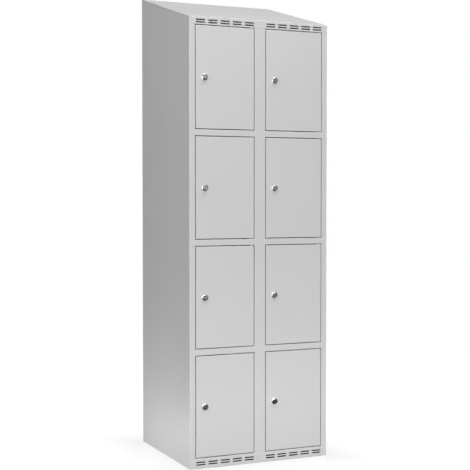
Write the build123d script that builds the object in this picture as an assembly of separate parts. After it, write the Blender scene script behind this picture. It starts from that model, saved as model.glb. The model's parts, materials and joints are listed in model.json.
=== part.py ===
"""Coin-operated steel locker: two columns of four lockable compartments under a sloping roof.

Frame, in millimetres: +Z up, +X to the right as seen from the front, and the doors face -Y.
The origin is the middle of the footprint, on the floor.
Every sheet-metal piece is one thickness throughout, with rounded folds.
"""
from build123d import *
import math
import os

# ---- Driving dimensions -------------------------------------------------------------------------
COLUMNS = 2
TIERS = 4
MODULE = 300.0            # width of one column, outside to outside
DEPTH = 550.0
FRONT_HEIGHT = 1752.0     # floor to the front ridge of the roof
REAR_HEIGHT = 1902.0      # floor to the rear ridge of the roof

SHEET = 1.0               # thickness of every sheet
BEND = 1.8                # outer radius of every fold

POST = 23.5               # face of the frame each side of an opening
PLINTH = 40.0             # height of the bottom rail
RAIL = 24.0               # height of the rail between two openings
OPENING_HEIGHT = 402.5
FRAME_DEPTH = 22.0        # how far the frame folds back behind the front plane
BACK_FLANGE = 15.0        # width of the flanges at the back of the side panels and partition
TRAY_FLANGE = 15.0        # turned edges of the base and the shelves
CEILING_FLANGE = 10.0     # turned edges of the ceiling, below the fascia's slots
RAIL_TURN = 13.0          # turned edge at the back of the bottom rail
FASCIA_TURN = 9.0         # turned edge at the back of the fascia
SKIN_GAP = 0.5            # open joint between the roof's edges and the side panels
REAR_SKIRT = 30.0         # how far the roof comes down at the back

STOP_DEPTH = 20.0         # front plane to the face of the door stop
STOP_WIDTH = 12.0         # how far the door stop reaches into the opening

DOOR_GAP = 3.0            # all round each door
DOOR_DEPTH = 18.0
DOOR_LIP = 10.0           # inner lip round the back of the door
HINGE_INSET = 10.0        # hinge pin to the door's hinged edge
HINGE_SETBACK = 6.0       # hinge pin behind the front plane
PIN_STUB = 2.0            # radius of the stub riveted into the frame
PIN_RADIUS = 2.5
PIN_COLLAR = 4.0          # radius of the collar that fills the gap above or below the door
PIN_LENGTH = 10.0
PIN_CHAMFER = 0.6

STRIKE_HALF_HEIGHT = 35.0
STRIKE_THICKNESS = 2.0
STRIKE_CLEARANCE = 0.3
BUFFER_RADIUS = 3.5
BUFFER_CLEARANCE = 0.2
BUFFER_FROM_MIDDLE = 150.0

VENT_LENGTH = 39.5
VENT_HEIGHT = 5.0
VENT_PITCH = 51.75
VENT_COUNT = 5            # slots across one column
VENT_ROW_PITCH = 9.4
FASCIA_VENT_DROP = 1.5    # slots below the middle of the fascia
SHELF_VENT_FROM_BACK = 45.0

LOCK_INSET = 37.5         # lock axis from the door's free edge
LOCK_HEAD = 9.5           # how far the lock stands out from the door
HEAD_RADIUS = 11.0
HEAD_CHAMFER = 1.2
FLANGE_RADIUS = 12.5
FLANGE_THICKNESS = 2.5
FLANGE_EDGE = 0.5
BARREL_RADIUS = 9.5
PLUG_RADIUS = 7.0
PLUG_RECESS = 0.5         # plug face behind the face of the lock head
RUNNING_GAP = 0.1
KEYWAY_WIDTH = 1.8
KEYWAY_HEIGHT = 9.0
KEYWAY_DEPTH = 14.0
CAM_START = 23.5          # cam's front face behind the front plane
CAM_THICKNESS = 3.0
CAM_REACH = 39.0          # lock axis to the cam's tip
CAM_HUB_RADIUS = 9.0
CAM_TIP_RADIUS = 6.0
CAM_SCREW_RADIUS = 6.5
CAM_SCREW_HEIGHT = 3.0
SHANK = 8.0               # square that carries the cam

# The coin lock's case, measured from the lock's axis and back from the front plane
CASE_LEFT = -19.0
CASE_BACK = 18.0          # rear of its flat part, in front of the cam
CASE_HALF_HEIGHT = 50.0
CASE_WALL = 2.0
CASE_CORNER = 2.0
COIN_BOX_LEFT = 17.0
COIN_BOX_RIGHT = 69.0
COIN_BOX_DEPTH = 44.0
COIN_SLOT_WIDTH = 2.6
COIN_SLOT_HEIGHT = 28.0
COIN_SLOT_ABOVE = 19.0    # middle of the slot above the lock's axis
CUP_WIDTH = 36.0
CUP_DEPTH = 18.0
CUP_HEIGHT = 26.0
CUP_SILL = 8.0
CHUTE_WIDTH = 30.0
CHUTE_DEPTH = 6.0

HOLE_COLUMN = 150.0       # wall-fixing holes, from the middle of the back
HOLE_LOW = 240.0
HOLE_HIGH = 1640.0
HOLE_RADIUS = 4.0

FOOT_INSET_X = 38.0       # levelling foot from the side of the locker
FOOT_INSET_Y = 43.0       # levelling foot from the front and the back
FOOT_STEM = 4.0           # radius of the adjusting screw
STEM_TOP = 37.0
PAD_RADIUS = 16.0
PAD_HEIGHT = 6.0
PAD_EDGE = 1.5
PAD_NECK = 2.0            # cone between the pad and the screw
BRACKET_TOP = 23.0
BRACKET_PLATE = 2.0
BRACKET_LEG = 18.0
BRACKET_REACH = 56.0
BRACKET_HALF_WIDTH = 20.0
NUT_RADIUS = 7.5
NUT_HEIGHT = 6.5

# ---- Worked out from them -----------------------------------------------------------------------
WIDTH = COLUMNS * MODULE
HALF = WIDTH / 2
FRONT = -DEPTH / 2
BACK = DEPTH / 2
OPENING_WIDTH = MODULE - 2 * POST
PITCH = OPENING_HEIGHT + RAIL
FRAME_TOP = PLINTH + TIERS * PITCH - RAIL
SLOPE = math.atan2(REAR_HEIGHT - FRONT_HEIGHT, DEPTH)
DOOR_WIDTH = OPENING_WIDTH - 2 * DOOR_GAP
DOOR_HEIGHT = OPENING_HEIGHT - 2 * DOOR_GAP
SILLS = [PLINTH + tier * PITCH for tier in range(TIERS)]
RAIL_FOOTINGS = [sill - RAIL for sill in SILLS[1:]]
COLUMN_NAMES = ["left", "right"]
COLUMN_EDGES = [-HALF + column * MODULE for column in range(COLUMNS)]
INNER_HALF = HALF - SHEET
BACK_PANEL_FRONT = BACK - 2 * SHEET
SHELF_BACK = BACK_PANEL_FRONT - BEND
FRAME_BACK = FRONT + FRAME_DEPTH
ROOF_SKIRT = 2 * BEND     # how far the roof wraps over the side panels
LOCK_X = POST + DOOR_GAP + LOCK_INSET      # lock axis from the column's left-hand edge
FREE_EDGE = -LOCK_INSET   # door edges, measured from the lock's axis
HINGED_EDGE = DOOR_WIDTH - LOCK_INSET


# ---- Building blocks ----------------------------------------------------------------------------
def block(low, high):
    """Box between two opposite corners."""
    low, high = Vector(*low), Vector(*high)
    size = high - low
    middle = (low + high) * 0.5
    return Pos(*middle) * Box(size.X, size.Y, size.Z)


def fold(points):
    """Section of a folded sheet: the points trace one face and the sheet lies to their left."""
    path = [Vector(*point) for point in points]
    runs = [(b - a).normalized() for a, b in zip(path, path[1:])]
    sides = [Vector(-run.Y, run.X) for run in runs]
    near = [(path[0], 0)]
    far = [(path[0] + sides[0] * SHEET, 0)]
    for corner, before, after in zip(path[1:-1], sides, sides[1:]):
        left_turn = before.X * after.Y - before.Y * after.X > 0
        miter = (before + after) * (SHEET / (1 + before.dot(after)))
        near.append((corner, BEND if left_turn else BEND - SHEET))
        far.append((corner + miter, BEND - SHEET if left_turn else BEND))
    near.append((path[-1], 0))
    far.append((path[-1] + sides[-1] * SHEET, 0))
    outline = near + far[::-1]
    corners = [corner for corner, _ in outline]
    radii = [radius for _, radius in outline]
    return make_face(FilletPolyline(*corners, radius=radii, close=True))


def upright(points, bottom, top):
    """Folded sheet with its section in plan, standing from bottom to top."""
    return Pos(0, 0, bottom) * extrude(fold(points), top - bottom)


def crosswise(points, left, right):
    """Folded sheet with its section seen from the side, running from left to right."""
    return Pos(left, 0, 0) * extrude(Plane.YZ * fold(points), right - left)


def tray(left, right, front, back, flange=TRAY_FLANGE, open_front=False):
    """Plate with turned-down edges, its top face at z = 0."""
    outer = block((left, front, -flange), (right, back, 0))
    inner_front = front - SHEET if open_front else front + SHEET
    inner = block((left + SHEET, inner_front, -flange), (right - SHEET, back - SHEET, -SHEET))
    folded_edges = 1 if open_front else 0
    outer_edges = outer.edges().group_by(Axis.Z)[-1].sort_by(Axis.Y)[folded_edges:]
    inner_edges = inner.edges().group_by(Axis.Z)[-1].sort_by(Axis.Y)[folded_edges:]
    return fillet(outer_edges, BEND) - fillet(inner_edges, BEND - SHEET)


def turned(points):
    """Solid of revolution about the Y axis, from (radius, y) corners."""
    return revolve(make_face(Polyline(*points, close=True)), Axis.Y)


def rod_along_y(radius, start, end):
    """Cylinder on the Y axis between two depths."""
    return Pos(0, (start + end) / 2, 0) * Rot(X=90) * Cylinder(radius, end - start)


def roof_height(y):
    """Height of the roof's top face above a point on the floor."""
    return FRONT_HEIGHT + (y - FRONT) * math.tan(SLOPE)


def vent_places(column_edge):
    """X positions of one column's vent slots."""
    middle = column_edge + MODULE / 2
    first = middle - (VENT_COUNT - 1) / 2 * VENT_PITCH
    return [first + number * VENT_PITCH for number in range(VENT_COUNT)]


def front_vents(middle_height):
    """Cutters for the two rows of slots in a front face."""
    rows = [middle_height - VENT_ROW_PITCH / 2, middle_height + VENT_ROW_PITCH / 2]
    slot = Rot(X=90) * extrude(SlotOverall(VENT_LENGTH, VENT_HEIGHT), 2 * SHEET, both=True)
    return [Pos(x, FRONT, z) * slot
            for edge in COLUMN_EDGES for x in vent_places(edge) for z in rows]


def flat_vents(column_edge, y, z):
    """Cutters for one row of slots in a horizontal sheet."""
    slot = extrude(SlotOverall(VENT_LENGTH, VENT_HEIGHT), 2 * SHEET, both=True)
    return [Pos(x, y, z) * slot for x in vent_places(column_edge)]


def hinge_axis(column_edge):
    """X position of the hinge pins, near the right-hand side of the opening."""
    return column_edge + MODULE - POST - DOOR_GAP - HINGE_INSET


def pin_holes(height):
    """Cutters for the hinge pins' stubs in a frame edge at one height."""
    return [Pos(hinge_axis(edge), FRONT + HINGE_SETBACK, height) * Cylinder(PIN_STUB, 4 * SHEET)
            for edge in COLUMN_EDGES]


# ---- Carcass ------------------------------------------------------------------------------------
def above_roof_line():
    """Space taken by the roof and its skirts, cut away from the side panels."""
    drop = (ROOF_SKIRT + SKIN_GAP) / math.cos(SLOPE)
    margin = 20.0
    low, high = FRONT - margin, BACK + margin
    section = Polyline((low, roof_height(low) - drop), (high, roof_height(high) - drop),
                       (high, REAR_HEIGHT + margin), (low, REAR_HEIGHT + margin), close=True)
    over = extrude(Plane.YZ * make_face(section), HALF + margin, both=True)
    skirt = ROOF_SKIRT + SKIN_GAP
    fascia = block((-HALF - margin, low, FRAME_TOP), (HALF + margin, FRONT + skirt, REAR_HEIGHT))
    rear_start = REAR_HEIGHT - REAR_SKIRT - SKIN_GAP
    rear = block((-HALF - margin, BACK - skirt, rear_start), (HALF + margin, high, REAR_HEIGHT))
    return [over, fascia, rear]


def rail_notches(left, right):
    """Cutters that let the rails pass through a post's folded edge."""
    spans = [(footing, footing + RAIL) for footing in RAIL_FOOTINGS] + [(0, PLINTH)]
    return [block((left, FRONT - SHEET, low), (right, FRAME_BACK + SHEET, high))
            for low, high in spans]


def left_side_panel():
    """Side, lock-side post with its door stop, and back flange, folded from one sheet."""
    edge = -HALF + POST
    stop = FRONT + STOP_DEPTH
    panel = upright([(-HALF + BACK_FLANGE, BACK), (-HALF, BACK), (-HALF, FRONT), (edge, FRONT),
                     (edge, stop), (edge + STOP_WIDTH, stop)], 0, REAR_HEIGHT)
    top_cut = block((-INNER_HALF, FRONT - SHEET, FRAME_TOP),
                    (edge + 2 * STOP_WIDTH, FRAME_BACK, REAR_HEIGHT))
    return panel - rail_notches(edge - BEND, edge + 2 * STOP_WIDTH) - top_cut - above_roof_line()


def right_side_panel():
    """Side, hinge-side post and back flange, folded from one sheet."""
    edge = HALF - POST
    panel = upright([(edge, FRAME_BACK), (edge, FRONT), (HALF, FRONT), (HALF, BACK),
                     (HALF - BACK_FLANGE, BACK)], 0, REAR_HEIGHT)
    top_cut = block((edge - STOP_WIDTH, FRONT - SHEET, FRAME_TOP),
                    (INNER_HALF, FRAME_BACK + SHEET, REAR_HEIGHT))
    return panel - rail_notches(edge - STOP_WIDTH, edge + BEND) - top_cut - above_roof_line()


def centre_post():
    """Post between the columns: hinge side of the left one, door stop of the right one."""
    stop = FRONT + STOP_DEPTH
    post = upright([(-POST, FRAME_BACK), (-POST, FRONT), (POST, FRONT), (POST, stop),
                    (POST + STOP_WIDTH, stop)], PLINTH, FRAME_TOP)
    hinge_side = rail_notches(-2 * POST, -POST + BEND)
    stop_side = rail_notches(POST - BEND, POST + 2 * STOP_WIDTH)
    return post - hinge_side - stop_side


def centre_partition():
    """Full-depth wall between the columns, flanged to the post and to the back."""
    face = -SHEET / 2
    return upright([(BACK_FLANGE, BACK_PANEL_FRONT), (face, BACK_PANEL_FRONT),
                    (face, FRONT + SHEET), (BACK_FLANGE, FRONT + SHEET)], PLINTH, FRAME_TOP)


def back_panel():
    """Flat back, inside the side panels' flanges, with four wall-fixing holes."""
    half_width = INNER_HALF - BEND
    panel = block((-half_width, BACK_PANEL_FRONT, 0),
                  (half_width, BACK - SHEET, REAR_HEIGHT - REAR_SKIRT / 2))
    hole = Rot(X=90) * Cylinder(HOLE_RADIUS, 4 * SHEET)
    places = [(x, z) for x in (-HOLE_COLUMN, HOLE_COLUMN) for z in (HOLE_LOW, HOLE_HIGH)]
    return panel - [Pos(x, BACK - SHEET, z) * hole for x, z in places]


def base_plate():
    """Floor of the lowest compartments."""
    plate = tray(-INNER_HALF, INNER_HALF, FRAME_BACK, BACK_PANEL_FRONT)
    vents = [cutter for edge in COLUMN_EDGES
             for cutter in flat_vents(edge, BACK - SHELF_VENT_FROM_BACK, PLINTH)]
    return Pos(0, 0, PLINTH) * plate - vents


def bottom_rail():
    """Plinth under the lowest doors, with two rows of vent slots in each column."""
    reach = HALF - POST + BEND
    rail = crosswise([(FRAME_BACK, PLINTH - RAIL_TURN), (FRAME_BACK, PLINTH), (FRONT, PLINTH),
                      (FRONT, 0), (FRAME_BACK - 2 * BEND, 0)], -reach, reach)
    return rail - front_vents(PLINTH / 2) - pin_holes(PLINTH)


def shelf(column_edge, footing):
    """Shelf whose front edge is folded down into the rail between two openings."""
    top = footing + RAIL
    inner_left = column_edge + (SHEET if column_edge < 0 else SHEET / 2)
    inner_right = column_edge + MODULE - (SHEET / 2 if column_edge < 0 else SHEET)
    plate = Pos(0, 0, top) * tray(inner_left, inner_right, FRAME_BACK, SHELF_BACK, open_front=True)
    edge = POST - BEND
    front = crosswise([(FRAME_BACK + RAIL, top), (FRONT, top), (FRONT, footing),
                       (FRAME_BACK, footing)], column_edge + edge, column_edge + MODULE - edge)
    vents = flat_vents(column_edge, BACK - SHELF_VENT_FROM_BACK, top)
    return plate + front - vents - pin_holes(top) - pin_holes(footing)


def ceiling_plate():
    """Flat ceiling of the top compartments, below the roof space."""
    plate = tray(-INNER_HALF, INNER_HALF, FRAME_BACK, BACK_PANEL_FRONT, flange=CEILING_FLANGE)
    plate = mirror(plate, Plane.XY)
    vents = [cutter for edge in COLUMN_EDGES
             for cutter in flat_vents(edge, FRONT + SHELF_VENT_FROM_BACK, FRAME_TOP)]
    return Pos(0, 0, FRAME_TOP) * plate - vents


def roof_section(inset, bottom):
    """Side view of the roof space, drawn in from the front, the slope and the back by inset."""
    drop = inset / math.cos(SLOPE)
    front, back = FRONT + inset, BACK - inset
    corners = [(front, bottom), (front, roof_height(front) - drop),
               (back, roof_height(back) - drop), (back, bottom)]
    return Plane.YZ * make_face(Polyline(*corners, close=True))


def roof_body(inset):
    """Wedge with the roof's outer shape and folds, drawn in by inset on every face."""
    wedge = extrude(roof_section(inset, FRAME_TOP + inset), HALF - inset, both=True)
    upper = wedge.edges().filter_by(lambda edge: edge.center().Z > FRAME_TOP + inset + SHEET)
    lower_front = wedge.edges().group_by(Axis.Z)[0].sort_by(Axis.Y)[0]
    return fillet(list(upper) + [lower_front], BEND - inset)


def sloping_roof():
    """Roof, slotted front fascia and rear skirt, wrapped a little way down over the sides."""
    skin = roof_body(0) - roof_body(SHEET)
    side_walls = extrude(roof_section(ROOF_SKIRT, 0), WIDTH, both=True)
    side_walls -= block((-INNER_HALF, FRONT, 0), (INNER_HALF, BACK, REAR_HEIGHT))
    underside = block((-WIDTH, FRAME_BACK, 0), (WIDTH, BACK, FRAME_TOP + SHEET))
    turned_edge = block((-INNER_HALF + SHEET, FRAME_BACK - SHEET, FRAME_TOP),
                        (INNER_HALF - SHEET, FRAME_BACK, FRAME_TOP + FASCIA_TURN))
    rear_wall = block((-WIDTH, BACK - ROOF_SKIRT, 0), (WIDTH, BACK, REAR_HEIGHT - REAR_SKIRT))
    vents = front_vents((FRAME_TOP + FRONT_HEIGHT) / 2 - FASCIA_VENT_DROP)
    return skin - side_walls - underside - rear_wall + turned_edge - vents - pin_holes(FRAME_TOP)


def hinge_pins():
    """Two pins for each door: a riveted stub, a collar that fills the gap, and the pin."""
    collar = DOOR_GAP - RUNNING_GAP
    section = [(0, -SHEET), (PIN_STUB, -SHEET), (PIN_STUB, 0), (PIN_COLLAR, 0),
               (PIN_COLLAR, collar), (PIN_RADIUS, collar), (PIN_RADIUS, PIN_LENGTH - PIN_CHAMFER),
               (PIN_RADIUS - PIN_CHAMFER, PIN_LENGTH), (0, PIN_LENGTH)]
    lower = Rot(X=90) * turned(section)
    upper = Rot(X=-90) * turned(section)
    y = FRONT + HINGE_SETBACK
    places = [(hinge_axis(edge), sill) for edge in COLUMN_EDGES for sill in SILLS]
    lower_pins = [Pos(x, y, sill) * lower for x, sill in places]
    upper_pins = [Pos(x, y, sill + OPENING_HEIGHT) * upper for x, sill in places]
    return lower_pins + upper_pins


def strike_plates():
    """Reinforcement behind each door stop, where the lock's cam closes."""
    start = POST + SHEET + STRIKE_CLEARANCE
    front = FRONT + STOP_DEPTH + SHEET
    plate = block((start, front, -STRIKE_HALF_HEIGHT),
                  (POST + STOP_WIDTH, front + STRIKE_THICKNESS, STRIKE_HALF_HEIGHT))
    return [Pos(edge, 0, sill + OPENING_HEIGHT / 2) * plate
            for edge in COLUMN_EDGES for sill in SILLS]


def door_buffers():
    """Rubber discs on the door stops, two for each door."""
    thickness = STOP_DEPTH - DOOR_DEPTH - BUFFER_CLEARANCE
    x = POST + STOP_WIDTH - BUFFER_RADIUS - SHEET
    y = FRONT + STOP_DEPTH - thickness
    disc = rod_along_y(BUFFER_RADIUS, 0, thickness)
    return [Pos(edge + x, y, sill + OPENING_HEIGHT / 2 + side * BUFFER_FROM_MIDDLE) * disc
            for edge in COLUMN_EDGES for sill in SILLS for side in (-1, 1)]


# ---- Feet ---------------------------------------------------------------------------------------
def foot_places():
    """The four levelling feet, as (x, y, outward x direction)."""
    x, y = HALF - FOOT_INSET_X, BACK - FOOT_INSET_Y
    return [(side * x, end * y, side) for side in (-1, 1) for end in (-1, 1)]


def levelling_feet():
    """Adjusting screws with round pads, level with the lower edge of the panels."""
    section = [(0, 0), (PAD_RADIUS - PAD_EDGE, 0), (PAD_RADIUS, PAD_EDGE),
               (PAD_RADIUS, PAD_HEIGHT - PAD_EDGE), (FOOT_STEM + PAD_NECK, PAD_HEIGHT),
               (FOOT_STEM, PAD_HEIGHT + PAD_NECK), (FOOT_STEM, STEM_TOP), (0, STEM_TOP)]
    foot = Rot(X=90) * turned(section)
    return [Pos(x, y, 0) * foot for x, y, _ in foot_places()]


def foot_brackets():
    """Angle brackets with weld nuts that carry the feet on the side panels."""
    far_corner = (BRACKET_REACH, BRACKET_HALF_WIDTH, BRACKET_TOP)
    leg = block((BRACKET_REACH - BRACKET_PLATE, -BRACKET_HALF_WIDTH, BRACKET_TOP - BRACKET_LEG),
                far_corner)
    table = block((0, -BRACKET_HALF_WIDTH, BRACKET_TOP - BRACKET_PLATE), far_corner)
    screw_x = BRACKET_REACH - FOOT_INSET_X + SHEET
    nut = Pos(screw_x, 0, BRACKET_TOP) * extrude(RegularPolygon(NUT_RADIUS, 6), NUT_HEIGHT)
    hole = Pos(screw_x, 0, BRACKET_TOP) * Cylinder(FOOT_STEM, 4 * NUT_HEIGHT)
    bracket = leg + table + nut - hole
    right_end = Pos(INNER_HALF - BRACKET_REACH, 0, 0) * bracket
    turn = {1: Rot(Z=0), -1: Rot(Z=180)}
    return [Pos(0, y, 0) * turn[side] * right_end for _, y, side in foot_places()]


# ---- Door and lock, drawn round the lock's axis at the front plane ------------------------------
def door():
    """Pan-shaped door with a lip round its back, and holes for the lock and the hinge pins."""
    half_height = DOOR_HEIGHT / 2
    outer = block((FREE_EDGE, 0, -half_height), (HINGED_EDGE, DOOR_DEPTH, half_height))
    inner = block((FREE_EDGE + SHEET, SHEET, SHEET - half_height),
                  (HINGED_EDGE - SHEET, DOOR_DEPTH - SHEET, half_height - SHEET))
    mouth = block((FREE_EDGE + DOOR_LIP, DOOR_DEPTH - 2 * SHEET, DOOR_LIP - half_height),
                  (HINGED_EDGE - DOOR_LIP, DOOR_DEPTH + SHEET, half_height - DOOR_LIP))
    outer = fillet(outer.faces().sort_by(Axis.Y)[0].edges(), BEND)
    inner = fillet(inner.faces().sort_by(Axis.Y)[0].edges(), BEND - SHEET)
    lock_hole = rod_along_y(BARREL_RADIUS, -SHEET, 2 * SHEET)
    pin_hole = Pos(HINGED_EDGE - HINGE_INSET, HINGE_SETBACK, 0) * Cylinder(
        PIN_RADIUS + RUNNING_GAP / 2, 2 * DOOR_HEIGHT)
    return outer - inner - mouth - lock_hole - pin_hole


def lock_case(inset, front):
    """Outer shape of the coin lock's case, drawn in by inset: a flat part and a deeper coin box."""
    half_height = CASE_HALF_HEIGHT - inset
    flat_part = block((CASE_LEFT + inset, front, -half_height),
                      (COIN_BOX_RIGHT - inset, CASE_BACK - inset, half_height))
    coin_box = block((COIN_BOX_LEFT + inset, front, -half_height),
                     (COIN_BOX_RIGHT - inset, COIN_BOX_DEPTH - inset, half_height))
    return flat_part + coin_box


def coin_lock():
    """Hollow case inside the door: coin slot above, and the cup that returns the coin below."""
    case = lock_case(0, SHEET)
    rims = [edge for edge in case.edges()
            if edge.center().Y > 2 * SHEET
            and (abs(edge.center().X - COIN_BOX_LEFT) > SHEET or edge.center().Y > CASE_BACK + SHEET)]
    case = fillet(rims, CASE_CORNER)
    middle = (COIN_BOX_LEFT + COIN_BOX_RIGHT) / 2
    back = COIN_BOX_DEPTH - CASE_WALL
    floor = CASE_WALL - CASE_HALF_HEIGHT
    ceiling = floor + CUP_HEIGHT
    cup_front = back - CUP_DEPTH
    left, right = middle - CUP_WIDTH / 2, middle + CUP_WIDTH / 2
    cup = block((left, cup_front, floor), (right, back, ceiling))
    cup_walls = block((left - CASE_WALL, cup_front - CASE_WALL, floor - CASE_WALL / 2),
                      (right + CASE_WALL, back + CASE_WALL / 2, ceiling + CASE_WALL))
    mouth = block((left, cup_front, floor + CUP_SILL), (right, COIN_BOX_DEPTH + SHEET, ceiling))
    chute = Pos(middle, back - CHUTE_DEPTH, ceiling) * Box(CHUTE_WIDTH, CHUTE_DEPTH, 3 * CASE_WALL)
    slot = Pos(middle, COIN_BOX_DEPTH, COIN_SLOT_ABOVE) * Box(
        COIN_SLOT_WIDTH, 3 * CASE_WALL, COIN_SLOT_HEIGHT)
    boss = rod_along_y(BARREL_RADIUS + 2 * CASE_WALL, SHEET, CASE_BACK)
    barrel_hole = rod_along_y(BARREL_RADIUS, 0, CASE_BACK + SHEET)
    shell = case - lock_case(CASE_WALL, 0) + boss + cup_walls
    return shell - cup - mouth - chute - slot - barrel_hole


def lock_cylinder():
    """Round lock head outside the door and threaded barrel through it, bored for the plug."""
    bore = PLUG_RADIUS + RUNNING_GAP
    barrel_end = CAM_START - 2 * SHEET
    return turned([(bore, -LOCK_HEAD), (HEAD_RADIUS - HEAD_CHAMFER, -LOCK_HEAD),
                   (HEAD_RADIUS, HEAD_CHAMFER - LOCK_HEAD), (HEAD_RADIUS, -FLANGE_THICKNESS),
                   (FLANGE_RADIUS, FLANGE_EDGE - FLANGE_THICKNESS), (FLANGE_RADIUS, 0),
                   (BARREL_RADIUS, 0), (BARREL_RADIUS, barrel_end), (bore, barrel_end)])


def lock_plug():
    """Turning plug with a keyway in front, a square for the cam and a screw head behind."""
    cam_end = CAM_START + CAM_THICKNESS
    face = PLUG_RECESS - LOCK_HEAD
    plug = rod_along_y(PLUG_RADIUS, face, CAM_START)
    square = block((-SHANK / 2, CAM_START, -SHANK / 2), (SHANK / 2, cam_end, SHANK / 2))
    screw = rod_along_y(CAM_SCREW_RADIUS, cam_end, cam_end + CAM_SCREW_HEIGHT)
    keyway = Pos(0, face, 0) * Box(KEYWAY_WIDTH, 2 * KEYWAY_DEPTH, KEYWAY_HEIGHT)
    return plug + square + screw - keyway


def lock_cam():
    """Flat cam, hanging down while the lock is open, that closes behind the door stop."""
    cam_end = CAM_START + CAM_THICKNESS
    hub = rod_along_y(CAM_HUB_RADIUS, CAM_START, cam_end)
    tip_middle = CAM_REACH - CAM_TIP_RADIUS
    tip = Pos(0, 0, -tip_middle) * rod_along_y(CAM_TIP_RADIUS, CAM_START, cam_end)
    arm = block((-CAM_TIP_RADIUS, CAM_START, -tip_middle), (CAM_TIP_RADIUS, cam_end, 0))
    square = block((-SHANK / 2, 0, -SHANK / 2), (SHANK / 2, DEPTH, SHANK / 2))
    return hub + tip + arm - square


# ---- Write one file for each node ---------------------------------------------------------------
def write(node, shape):
    """Write one node; several separate solids go in as a group."""
    solids = shape if isinstance(shape, list) else [shape]
    group = Compound(children=[solid for part in solids for solid in part.solids()])
    export_step(group, f"parts/{node}.step")


def main():
    os.makedirs("parts", exist_ok=True)
    carcass = [left_side_panel, right_side_panel, centre_post, centre_partition, back_panel,
               base_plate, bottom_rail, ceiling_plate, sloping_roof, hinge_pins, strike_plates,
               door_buffers, levelling_feet, foot_brackets]
    for make in carcass:
        write(make.__name__, make())
    for column, edge in zip(COLUMN_NAMES, COLUMN_EDGES):
        for number, footing in enumerate(RAIL_FOOTINGS, start=1):
            write(f"shelf_{column}_{number}", shelf(edge, footing))
    for make in [door, coin_lock, lock_cylinder, lock_plug, lock_cam]:
        piece = make()
        for column, edge in zip(COLUMN_NAMES, COLUMN_EDGES):
            for number, sill in enumerate(SILLS, start=1):
                place = Pos(edge + LOCK_X, FRONT, sill + OPENING_HEIGHT / 2)
                write(f"{make.__name__}_{column}_{number}", place * piece)


main()
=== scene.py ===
"""Looks for the coin-operated locker: materials, small fittings, studio and camera.

Metres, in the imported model's own frame: +Z up, doors facing -Y, origin on the floor.
"""
import json
import math

import bmesh
import bpy
from mathutils import Matrix, Vector


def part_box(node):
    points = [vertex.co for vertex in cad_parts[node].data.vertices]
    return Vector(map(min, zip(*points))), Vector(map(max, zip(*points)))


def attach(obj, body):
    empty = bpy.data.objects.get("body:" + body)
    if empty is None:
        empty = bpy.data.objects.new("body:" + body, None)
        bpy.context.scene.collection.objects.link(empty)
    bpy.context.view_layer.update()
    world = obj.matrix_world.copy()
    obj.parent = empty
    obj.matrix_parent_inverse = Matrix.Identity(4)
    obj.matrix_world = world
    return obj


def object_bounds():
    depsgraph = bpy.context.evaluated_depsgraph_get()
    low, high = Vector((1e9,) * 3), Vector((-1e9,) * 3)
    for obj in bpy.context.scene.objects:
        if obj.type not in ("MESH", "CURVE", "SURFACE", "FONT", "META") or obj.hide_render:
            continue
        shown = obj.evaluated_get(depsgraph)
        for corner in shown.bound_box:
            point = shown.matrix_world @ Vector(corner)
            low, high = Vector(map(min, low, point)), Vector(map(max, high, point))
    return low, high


MM = 0.001

# ---- Paint --------------------------------------------------------------------------------------
GREY = (0.600, 0.604, 0.602)
FOLD_START = 0.962        # largest part of the normal where a fold begins; the roof's slope has more
FOLD_FULL = 0.90
# painted highlight: lighter paint colour laid on the sheet's folds
FOLD_HIGHLIGHT_TONE = (0.70, 0.705, 0.70)
FOLD_POLISH = 0.12

# ---- Camera and studio --------------------------------------------------------------------------
CAMERA_PLACE = (-1.8577, -4.2088, 1.0588)
CAMERA_TILT = math.radians(88.010)
CAMERA_TURN = math.radians(-23.973)
CAMERA_LENS = 84.12
SENSOR = 36.0
FLOOR_RADIUS = 3.4
FLOOR_SHADOW_NEAR = 0.86         # painted shadow: brightness of the floor's glow at the locker's foot
FLOOR_FAR = 1.02
FLOOR_SHADE_REACH = 0.22

# ---- Fittings, in millimetres -------------------------------------------------------------------
NUT_ACROSS = 25.0
NUT_HEIGHT = 3.0
NUT_HOLE = 9.55
NUT_CHAMFER = 0.45
NUT_CROWN = 1.03          # faced circle of the nut, in inscribed radii
NUT_CORNER = 1.13         # where its corners are cut, in inscribed radii
CASE_FLAT_BACK = 18.0     # rear of the lock case's flat part, behind the door's front
COIN_BOX_WIDTH = 52.0
COIN_SLOT = (2.6, 28.0)
COIN_SLOT_ABOVE_LOCK = 19.0
SLOT_PLATE = (16.0, 42.0)
PLATE_CORNER = 3.0
PLATE_THICKNESS = 0.8
PLATE_EDGE = 0.25
SCREW_INSET = 6.0
SHEET = 1.0
RIVET_BELOW_SHELF = 8.0
RIVET_RADIUS = 3.0
RIVET_HEIGHT = 1.0
PARTITION_RIVETS = 9
SCREW_RADIUS = 2.6
SCREW_HEIGHT = 0.9

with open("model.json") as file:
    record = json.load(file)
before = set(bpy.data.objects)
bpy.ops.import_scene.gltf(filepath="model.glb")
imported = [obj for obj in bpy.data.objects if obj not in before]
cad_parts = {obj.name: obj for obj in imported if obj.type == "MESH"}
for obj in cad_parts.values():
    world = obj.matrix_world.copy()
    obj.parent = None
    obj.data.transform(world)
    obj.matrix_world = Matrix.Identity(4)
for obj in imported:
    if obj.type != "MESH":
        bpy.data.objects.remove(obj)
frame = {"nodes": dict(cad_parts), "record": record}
cad_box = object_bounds()
nodes = frame["nodes"]


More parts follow.
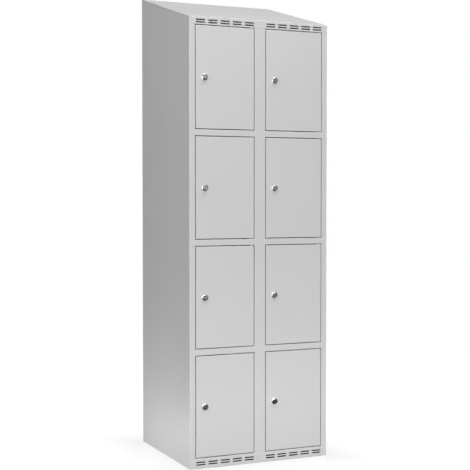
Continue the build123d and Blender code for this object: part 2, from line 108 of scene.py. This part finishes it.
# ---- Shader building blocks ---------------------------------------------------------------------
class Shader:
    """A material's node tree with short calls for the few node kinds used here."""

    def __init__(self, name):
        self.material = bpy.data.materials.new(name)
        self.material.use_nodes = True
        self.tree = self.material.node_tree
        self.principled = self.tree.nodes["Principled BSDF"]
        self.place = self.node("ShaderNodeTexCoord").outputs["Object"]

    def node(self, kind, **settings):
        """New node with some of its properties set."""
        node = self.tree.nodes.new(kind)
        for key, value in settings.items():
            setattr(node, key, value)
        return node

    def link(self, output, target):
        self.tree.links.new(output, target)

    def noise(self, scale, detail=2.0, roughness=0.5, stretch=None):
        """Noise over the object's own coordinates, in features per metre."""
        noise = self.node("ShaderNodeTexNoise")
        noise.inputs["Scale"].default_value = scale
        noise.inputs["Detail"].default_value = detail
        noise.inputs["Roughness"].default_value = roughness
        place = self.place
        if stretch:
            mapping = self.node("ShaderNodeMapping")
            mapping.inputs["Scale"].default_value = stretch
            self.link(place, mapping.inputs["Vector"])
            place = mapping.outputs["Vector"]
        self.link(place, noise.inputs["Vector"])
        return noise.outputs["Fac"]

    def span(self, value, low, high, start=0.3, end=0.7):
        """Value carried from start..end to low..high."""
        span = self.node("ShaderNodeMapRange")
        for key, number in zip(("From Min", "From Max", "To Min", "To Max"), (start, end, low, high)):
            span.inputs[key].default_value = number
        self.link(value, span.inputs["Value"])
        return span.outputs["Result"]

    def blend(self, value, first, second):
        """Colour that goes from first to second as value goes from 0.3 to 0.7."""
        ramp = self.node("ShaderNodeValToRGB")
        ramp.color_ramp.elements[0].position = 0.3
        ramp.color_ramp.elements[0].color = (*first, 1)
        ramp.color_ramp.elements[1].position = 0.7
        ramp.color_ramp.elements[1].color = (*second, 1)
        self.link(value, ramp.inputs["Fac"])
        return ramp.outputs["Color"]

    def folds(self):
        """0 on flat sheet and 1 on its folds, where the object's own normal leaves every axis."""
        split = self.node("ShaderNodeSeparateXYZ")
        coordinates = self.node("ShaderNodeTexCoord")
        self.link(coordinates.outputs["Normal"], split.inputs["Vector"])
        largest = None
        for axis in "XYZ":
            size = self.node("ShaderNodeMath", operation="ABSOLUTE")
            self.link(split.outputs[axis], size.inputs[0])
            if largest is None:
                largest = size.outputs["Value"]
                continue
            both = self.node("ShaderNodeMath", operation="MAXIMUM")
            self.link(largest, both.inputs[0])
            self.link(size.outputs["Value"], both.inputs[1])
            largest = both.outputs["Value"]
        return self.span(largest, 1.0, 0.0, FOLD_FULL, FOLD_START)

    def mix(self, factor, first, second):
        """Colour between two, each an output or a fixed colour."""
        mix = self.node("ShaderNodeMix", data_type="RGBA")
        self.link(factor, mix.inputs["Factor"])
        for source, socket in ((first, "A"), (second, "B")):
            target = next(entry for entry in mix.inputs if entry.name == socket and entry.type == "RGBA")
            if isinstance(source, tuple):
                target.default_value = (*source, 1)
            else:
                self.link(source, target)
        return next(entry for entry in mix.outputs if entry.type == "RGBA")

    def bump(self, height, depth, strength=1.0, under=None):
        """Bump of a depth in metres, laid over another bump if there is one."""
        bump = self.node("ShaderNodeBump")
        bump.inputs["Strength"].default_value = strength
        bump.inputs["Distance"].default_value = depth
        self.link(height, bump.inputs["Height"])
        if under is not None:
            self.link(under, bump.inputs["Normal"])
        return bump.outputs["Normal"]

    def set(self, **values):
        """Uniform values straight on the shader's sockets; spaces are written as underscores."""
        for key, value in values.items():
            self.principled.inputs[key.replace("_", " ")].default_value = value

    def feed(self, **outputs):
        """Varying values linked to the shader's sockets."""
        for key, output in outputs.items():
            self.link(output, self.principled.inputs[key.replace("_", " ")])


def tinted(colour, factor):
    """Colour made lighter or darker by a factor."""
    return tuple(channel * factor for channel in colour)


# ---- Materials ----------------------------------------------------------------------------------
def powder_coat(name, colour):
    """Satin powder coat: fine orange peel, slow drift of tone and gloss, glossier on folds, with a
    painted highlight: lighter colour on the folds.
    """
    shader = Shader(name)
    drift = shader.noise(3.0, detail=3.0)
    tone = shader.blend(drift, tinted(colour, 0.985), tinted(colour, 1.015))
    folds = shader.folds()
    # painted highlight: the folds take a lighter colour
    shader.feed(Base_Color=shader.mix(folds, tone, FOLD_HIGHLIGHT_TONE))
    gloss = shader.span(shader.noise(9.0, detail=4.0), 0.40, 0.48)
    worn = shader.node("ShaderNodeMath", operation="MULTIPLY_ADD")
    shader.link(folds, worn.inputs[0])
    worn.inputs[1].default_value = -FOLD_POLISH
    shader.link(gloss, worn.inputs[2])
    shader.feed(Roughness=worn.outputs["Value"])
    peel = shader.bump(shader.noise(420.0, detail=2.0), 0.00006, strength=0.5)
    shader.feed(Normal=shader.bump(shader.noise(2600.0, detail=1.0), 0.00002, strength=0.5, under=peel))
    shader.set(IOR=1.5)
    return shader.material


def chrome(name):
    """Polished plating with faint wiping marks."""
    shader = Shader(name)
    colour = (0.80, 0.80, 0.81)
    shader.feed(Base_Color=shader.blend(shader.noise(160.0), tinted(colour, 0.95), colour))
    shader.feed(Roughness=shader.span(shader.noise(700.0, detail=4.0), 0.08, 0.20))
    marks = shader.noise(900.0, detail=3.0, stretch=(0.2, 1.0, 3.0))
    shader.feed(Normal=shader.bump(marks, 0.00001, strength=0.4))
    shader.set(Metallic=1.0)
    return shader.material


def turned_steel(name):
    """Plug face: brushed, darker nickel finish."""
    shader = Shader(name)
    colour = (0.42, 0.42, 0.43)
    shader.feed(Base_Color=shader.blend(shader.noise(300.0), tinted(colour, 0.85), colour))
    shader.feed(Roughness=shader.span(shader.noise(1500.0, detail=4.0), 0.22, 0.36))
    brushing = shader.noise(1800.0, detail=2.0, stretch=(0.15, 1.0, 3.0))
    shader.feed(Normal=shader.bump(brushing, 0.00002, strength=0.5))
    shader.set(Metallic=1.0)
    return shader.material


def zinc_plate(name):
    """Bright zinc with cloudy patches and fine scratches."""
    shader = Shader(name)
    colour = (0.62, 0.64, 0.66)
    clouds = shader.noise(120.0, detail=5.0, roughness=0.6)
    shader.feed(Base_Color=shader.blend(clouds, tinted(colour, 0.78), colour))
    shader.feed(Roughness=shader.span(clouds, 0.45, 0.28))
    scratches = shader.noise(1400.0, detail=3.0, stretch=(1.0, 1.0, 0.1))
    shader.feed(Normal=shader.bump(scratches, 0.00003, strength=0.4))
    shader.set(Metallic=1.0)
    return shader.material


def moulded_plastic(name):
    """Charcoal plastic with a spark-eroded mould texture."""
    shader = Shader(name)
    colour = (0.045, 0.046, 0.05)
    shader.feed(Base_Color=shader.blend(shader.noise(40.0), tinted(colour, 0.85), tinted(colour, 1.2)))
    shader.feed(Roughness=shader.span(shader.noise(200.0, detail=3.0), 0.48, 0.62))
    shader.feed(Normal=shader.bump(shader.noise(2200.0, detail=3.0), 0.00008, strength=0.7))
    return shader.material


def soft_rubber(name):
    """Black rubber, slightly dusty."""
    shader = Shader(name)
    colour = (0.028, 0.028, 0.029)
    shader.feed(Base_Color=shader.blend(shader.noise(500.0, detail=4.0), colour, tinted(colour, 1.9)))
    shader.feed(Roughness=shader.span(shader.noise(900.0), 0.70, 0.88))
    shader.feed(Normal=shader.bump(shader.noise(1800.0, detail=3.0), 0.0001, strength=0.5))
    return shader.material


MATERIALS = {
    "frame_paint": powder_coat("frame_powder_coat", GREY),
    "door_paint": powder_coat("door_powder_coat", GREY),
    "lock_chrome": chrome("polished_chrome"),
    "lock_plug": turned_steel("turned_nickel"),
    "zinc_plated_steel": zinc_plate("zinc_plate"),
    "lock_case_plastic": moulded_plastic("moulded_plastic"),
    "buffer_rubber": soft_rubber("soft_rubber"),
}


def paint(obj, slot, material=None):
    """Give an object the material of a slot, or another one by name."""
    obj.data.materials.clear()
    obj.data.materials.append(MATERIALS[material or slot])


def dress_cad_nodes():
    """Every CAD node takes the material of its slot; the lock plugs have a finish of their own."""
    for part in frame["record"]["subparts"]:
        node = part["node"]
        special = "lock_plug" if node.startswith("lock_plug") else None
        paint(nodes[node], part["material_slot"], special)


# ---- Fittings -----------------------------------------------------------------------------------
def middle(node):
    """Middle of a CAD node's box."""
    low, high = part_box(node)
    return (Vector(low) + Vector(high)) / 2


def ring_strip(mesh, rings, closed_caps=True):
    """Skin a list of rings, each with the same number of points, and close both ends."""
    loops = [[mesh.verts.new(point) for point in ring] for ring in rings]
    for lower, upper in zip(loops, loops[1:]):
        count = len(lower)
        for index in range(count):
            following = (index + 1) % count
            mesh.faces.new((lower[index], lower[following], upper[following], upper[index]))
    if closed_caps:
        mesh.faces.new(loops[0][::-1])
        mesh.faces.new(loops[-1])
    return loops


def lathe_rings(profile, sides=32):
    """Rings about the Y axis from (radius, y) pairs in millimetres."""
    turns = [2 * math.pi * index / sides for index in range(sides)]
    return [[Vector((radius * math.cos(turn), y, radius * math.sin(turn))) * MM for turn in turns]
            for radius, y in profile]


def dome(mesh, place, radius, height, towards, sides=24):
    """Shallow rivet head on a face, standing out along towards."""
    steps = 5
    profile = [(radius, 0.0), (radius, 0.25 * height)]
    for step in range(1, steps):
        angle = math.pi / 2 * step / steps
        profile.append((radius * math.cos(angle), 0.25 * height + 0.75 * height * math.sin(angle)))
    profile.append((radius * 0.08, height))
    turn = Vector((0, 1, 0)).rotation_difference(Vector(towards)).to_matrix()
    rings = [[turn @ point + Vector(place) for point in ring] for ring in lathe_rings(profile, sides)]
    ring_strip(mesh, rings)


def finish_piece(name, mesh, body, slot, smooth_angle=40.0):
    """Turn a bmesh into a piece that rides on a body and takes a slot's finish."""
    bmesh.ops.recalc_face_normals(mesh, faces=mesh.faces)
    data = bpy.data.meshes.new(name)
    mesh.to_mesh(data)
    mesh.free()
    piece = bpy.data.objects.new(name, data)
    bpy.context.scene.collection.objects.link(piece)
    data.shade_smooth()
    data.set_sharp_from_angle(angle=math.radians(smooth_angle))
    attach(piece, body)
    paint(piece, slot)
    return piece


def hexagon(radius, turn):
    """Distance from the middle to a hexagon's edge; radius is its inscribed circle's."""
    sixth = math.pi / 3
    return radius / math.cos((turn + sixth / 2) % sixth - sixth / 2)


def closed_skin(mesh, rings, place):
    """Skin rings that close on themselves, so that they enclose a hole, moved to a place."""
    moved = [[point + Vector(place) for point in ring] for ring in rings]
    loops = ring_strip(mesh, moved, closed_caps=False)
    first, last = loops[0], loops[-1]
    for index in range(len(first)):
        following = (index + 1) % len(first)
        mesh.faces.new((last[index], last[following], first[following], first[index]))


def nut(mesh, place, start, height):
    """Chamfered hexagon nut round the lock barrel, seen from inside the door."""
    apothem, sides = NUT_ACROSS / 2, 72
    turns = [2 * math.pi * index / sides for index in range(sides)]

    def ring(radius_at, y):
        return [Vector((radius_at(turn) * math.cos(turn), y, radius_at(turn) * math.sin(turn))) * MM
                for turn in turns]

    def full(turn):
        return min(hexagon(apothem, turn), apothem * NUT_CORNER)

    def faced(turn):
        return min(full(turn), apothem * NUT_CROWN)

    def bore(turn):
        return NUT_HOLE

    rings = [ring(bore, start), ring(faced, start), ring(full, start + NUT_CHAMFER),
             ring(full, start + height - NUT_CHAMFER), ring(faced, start + height),
             ring(bore, start + height)]
    closed_skin(mesh, rings, place)


def stadium(width, height, y, corner, steps=8):
    """Rounded rectangle in the X-Z plane, in millimetres."""
    points = []
    centres = [(1, 1, 0), (-1, 1, 90), (-1, -1, 180), (1, -1, 270)]
    for side_x, side_z, first in centres:
        centre_x = side_x * (width / 2 - corner)
        centre_z = side_z * (height / 2 - corner)
        for step in range(steps + 1):
            turn = math.radians(first + 90 * step / steps)
            points.append(Vector((centre_x + corner * math.cos(turn), y,
                                  centre_z + corner * math.sin(turn))) * MM)
    return points


def slot_plate(mesh, place):
    """Thin steel plate round the coin slot, with softened edges."""
    width, height = SLOT_PLATE
    slot_width, slot_height = COIN_SLOT
    slot_corner = slot_width / 2.01
    top, shoulder, edge = PLATE_THICKNESS, PLATE_THICKNESS - PLATE_EDGE, PLATE_EDGE
    rings = [stadium(slot_width, slot_height, 0, slot_corner),
             stadium(width, height, 0, PLATE_CORNER),
             stadium(width, height, shoulder, PLATE_CORNER),
             stadium(width - 2 * edge, height - 2 * edge, top, PLATE_CORNER - edge),
             stadium(slot_width + 2 * edge, slot_height + 2 * edge, top, slot_corner),
             stadium(slot_width, slot_height, shoulder, slot_corner)]
    closed_skin(mesh, rings, place)


def button_screw(mesh, place):
    """Round-headed screw with a hexagon recess, head towards the back."""
    head, deep, recess, sides = SCREW_RADIUS, SCREW_HEIGHT, SCREW_RADIUS * 0.42, 36
    turns = [2 * math.pi * index / sides for index in range(sides)]
    profile = [(head, 0.0, False), (head, 0.35 * deep, False), (head * 0.9, 0.7 * deep, False),
               (head * 0.7, deep, False), (recess, deep, True), (recess, 0.2 * deep, True),
               (recess * 0.1, 0.2 * deep, True)]
    rings = []
    for radius, y, is_hexagon in profile:
        ring = []
        for turn in turns:
            reach = hexagon(radius, turn) if is_hexagon else radius
            ring.append(Vector((reach * math.cos(turn), y, reach * math.sin(turn))) * MM + place)
        rings.append(ring)
    ring_strip(mesh, rings)


def columns_and_tiers():
    """Names' endings of the eight doors."""
    return [f"{column}_{tier}" for column in ("left", "right") for tier in (1, 2, 3, 4)]


def lock_fittings():
    """Barrel nut, coin-slot plate and case screws on the inner side of each door."""
    for ending in columns_and_tiers():
        axis = middle(f"lock_cylinder_{ending}")
        axis.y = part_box(f"door_{ending}")[0][1]
        leaf = f"leaf_{ending}"
        mesh = bmesh.new()
        nut(mesh, axis, CASE_FLAT_BACK, NUT_HEIGHT)
        finish_piece(f"lock_nut_{ending}", mesh, leaf, "zinc_plated_steel")
        case_low, case_high = [Vector(corner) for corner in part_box(f"coin_lock_{ending}")]
        coin_x = case_high.x - COIN_BOX_WIDTH / 2 * MM
        mesh = bmesh.new()
        slot_plate(mesh, Vector((coin_x, case_high.y, axis.z + COIN_SLOT_ABOVE_LOCK * MM)))
        finish_piece(f"coin_slot_plate_{ending}", mesh, leaf, "zinc_plated_steel")
        mesh = bmesh.new()
        inset = SCREW_INSET * MM
        for x in (case_high.x - inset, case_high.x - COIN_BOX_WIDTH * MM + inset):
            for z in (case_high.z - inset, axis.z - inset / 2):
                button_screw(mesh, Vector((x, case_high.y, z)))
        finish_piece(f"case_screws_{ending}", mesh, leaf, "zinc_plated_steel")


def rivets():
    """Blind rivets that hold the shelves to the walls and the back, all in one piece."""
    mesh = bmesh.new()
    for column in ("left", "right"):
        for tier in (1, 2, 3):
            low, high = [Vector(corner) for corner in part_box(f"shelf_{column}_{tier}")]
            z = high.z - RIVET_BELOW_SHELF * MM
            for share in (0.2, 0.5, 0.8):
                y = low.y + (high.y - low.y) * share
                for x, towards in ((low.x + SHEET * MM, (1, 0, 0)), (high.x - SHEET * MM, (-1, 0, 0))):
                    dome(mesh, (x, y, z), RIVET_RADIUS, RIVET_HEIGHT, towards)
    finish_piece("shelf_rivets", mesh, "carcass", "zinc_plated_steel")
    mesh = bmesh.new()
    low, high = [Vector(corner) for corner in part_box("back_panel")]
    for column in ("left", "right"):
        for tier in (1, 2, 3):
            shelf_low, shelf_high = [Vector(corner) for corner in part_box(f"shelf_{column}_{tier}")]
            z = shelf_high.z - RIVET_BELOW_SHELF * MM
            for share in (0.2, 0.8):
                x = shelf_low.x + (shelf_high.x - shelf_low.x) * share
                dome(mesh, (x, high.y, z), RIVET_RADIUS, RIVET_HEIGHT, (0, 1, 0))
    partition_low, partition_high = [Vector(corner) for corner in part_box("centre_partition")]
    for index in range(PARTITION_RIVETS):
        share = (index + 0.5) / PARTITION_RIVETS
        z = partition_low.z + (partition_high.z - partition_low.z) * share
        dome(mesh, (partition_high.x / 2, high.y, z), RIVET_RADIUS, RIVET_HEIGHT, (0, 1, 0))
    finish_piece("back_rivets", mesh, "carcass", "zinc_plated_steel")


# ---- Studio -------------------------------------------------------------------------------------
def area_light(name, place, target, size, power, reflected=True):
    """Soft rectangular light at a place, aimed at a target, that shiny surfaces may reflect."""
    data = bpy.data.lights.new(name, "AREA")
    data.shape = "RECTANGLE"
    data.size, data.size_y = size
    data.energy = power
    light = bpy.data.objects.new(name, data)
    light.location = place
    light.rotation_euler = (Vector(target) - Vector(place)).to_track_quat("-Z", "Y").to_euler()
    bpy.context.scene.collection.objects.link(light)
    light.visible_camera = False
    light.visible_glossy = reflected
    return light


def floor_material():
    """Glowing white floor with a painted shadow: its glow is a little greyer close round the locker and
    off underneath it.
    """
    shader = Shader("studio_floor")
    shader.set(Base_Color=(0.02, 0.02, 0.02, 1), Roughness=0.5, IOR=1.3)
    split = shader.node("ShaderNodeSeparateXYZ")
    shader.link(shader.place, split.inputs["Vector"])
    outside = shader.node("ShaderNodeMath", operation="MAXIMUM")
    for index, (axis, half) in enumerate((("X", cad_box[1][0]), ("Y", cad_box[1][1]))):
        size = shader.node("ShaderNodeMath", operation="ABSOLUTE")
        shader.link(split.outputs[axis], size.inputs[0])
        beyond = shader.node("ShaderNodeMath", operation="SUBTRACT")
        shader.link(size.outputs["Value"], beyond.inputs[0])
        beyond.inputs[1].default_value = half
        shader.link(beyond.outputs["Value"], outside.inputs[index])
    # painted shade: no glow under the locker's footprint
    near = shader.node("ShaderNodeMath", operation="GREATER_THAN")
    shader.link(outside.outputs["Value"], near.inputs[0])
    near.inputs[1].default_value = -SHEET * MM / 2
    # painted shadow: the glow dims towards the locker's foot
    shade = shader.span(outside.outputs["Value"], FLOOR_SHADOW_NEAR, FLOOR_FAR, 0.0, FLOOR_SHADE_REACH)
    glow = shader.node("ShaderNodeMath", operation="MULTIPLY")
    shader.link(near.outputs["Value"], glow.inputs[0])
    shader.link(shade, glow.inputs[1])
    shader.set(Emission_Color=(1, 1, 1, 1))
    shader.feed(Emission_Strength=glow.outputs["Value"])
    return shader.material


def build_floor():
    """Round floor, wide enough to fade out of sight."""
    mesh = bmesh.new()
    bmesh.ops.create_circle(mesh, cap_ends=True, segments=96, radius=FLOOR_RADIUS)
    data = bpy.data.meshes.new("floor")
    mesh.to_mesh(data)
    mesh.free()
    floor = bpy.data.objects.new("floor", data)
    bpy.context.scene.collection.objects.link(floor)
    data.materials.append(floor_material())
    floor.visible_diffuse = False
    floor.visible_glossy = False


def build_studio():
    """White surroundings, soft lights on every side, and low lights by the left side and the front."""
    world = bpy.data.worlds.new("white_surroundings")
    world.use_nodes = True
    background = world.node_tree.nodes["Background"]
    background.inputs["Color"].default_value = (1, 1, 1, 1)
    background.inputs["Strength"].default_value = 1.0
    world.cycles_visibility.diffuse = False
    world.cycles_visibility.glossy = False
    bpy.context.scene.world = world
    area_light("top", (0.0, -0.3, 4.2), (0, 0, 0), (3.4, 3.4), 60)
    area_light("top_front", (0.0, -2.2, 4.4), (0, 0, 0.9), (3.4, 2.4), 78)
    area_light("front", (-0.6, -5.2, 1.3), (0, -0.3, 0.95), (4.0, 3.0), 142)
    area_light("left_fill", (-4.2, -0.4, 1.6), (0, 0, 1.0), (3.0, 2.6), 90)
    area_light("right_card", (3.0, -4.4, 1.6), (0, -0.3, 0.9), (2.4, 3.4), 9)
    area_light("right_side", (4.4, 1.5, 1.6), (0.3, 0.1, 0.95), (2.4, 2.6), 150)
    area_light("behind", (1.9, 4.8, 1.7), (0, 0.275, 0.95), (3.4, 3.0), 150, reflected=False)
    area_light("low_left", (-0.62, 0.0, 0.03), (-0.3, 0.0, 0.16), (0.8, 0.1), 0.85)
    area_light("low_left_wide", (-1.0, 0.0, 0.04), (-0.3, 0.0, 0.3), (1.2, 0.15), 0.95)
    area_light("low_front", (0.1, -1.1, 0.05), (0.05, -0.275, 0.2), (1.6, 0.15), 4.6, reflected=False)


def build_camera():
    """Camera at the reference viewing angle."""
    data = bpy.data.cameras.new("camera")
    data.lens = CAMERA_LENS
    data.sensor_width = SENSOR
    data.clip_end = 60.0
    camera = bpy.data.objects.new("camera", data)
    camera.location = CAMERA_PLACE
    camera.rotation_euler = (CAMERA_TILT, 0.0, CAMERA_TURN)
    bpy.context.scene.collection.objects.link(camera)
    bpy.context.scene.camera = camera


dress_cad_nodes()
lock_fittings()
rivets()
build_floor()
build_studio()
build_camera()
bpy.context.scene.view_settings.view_transform = "Standard"
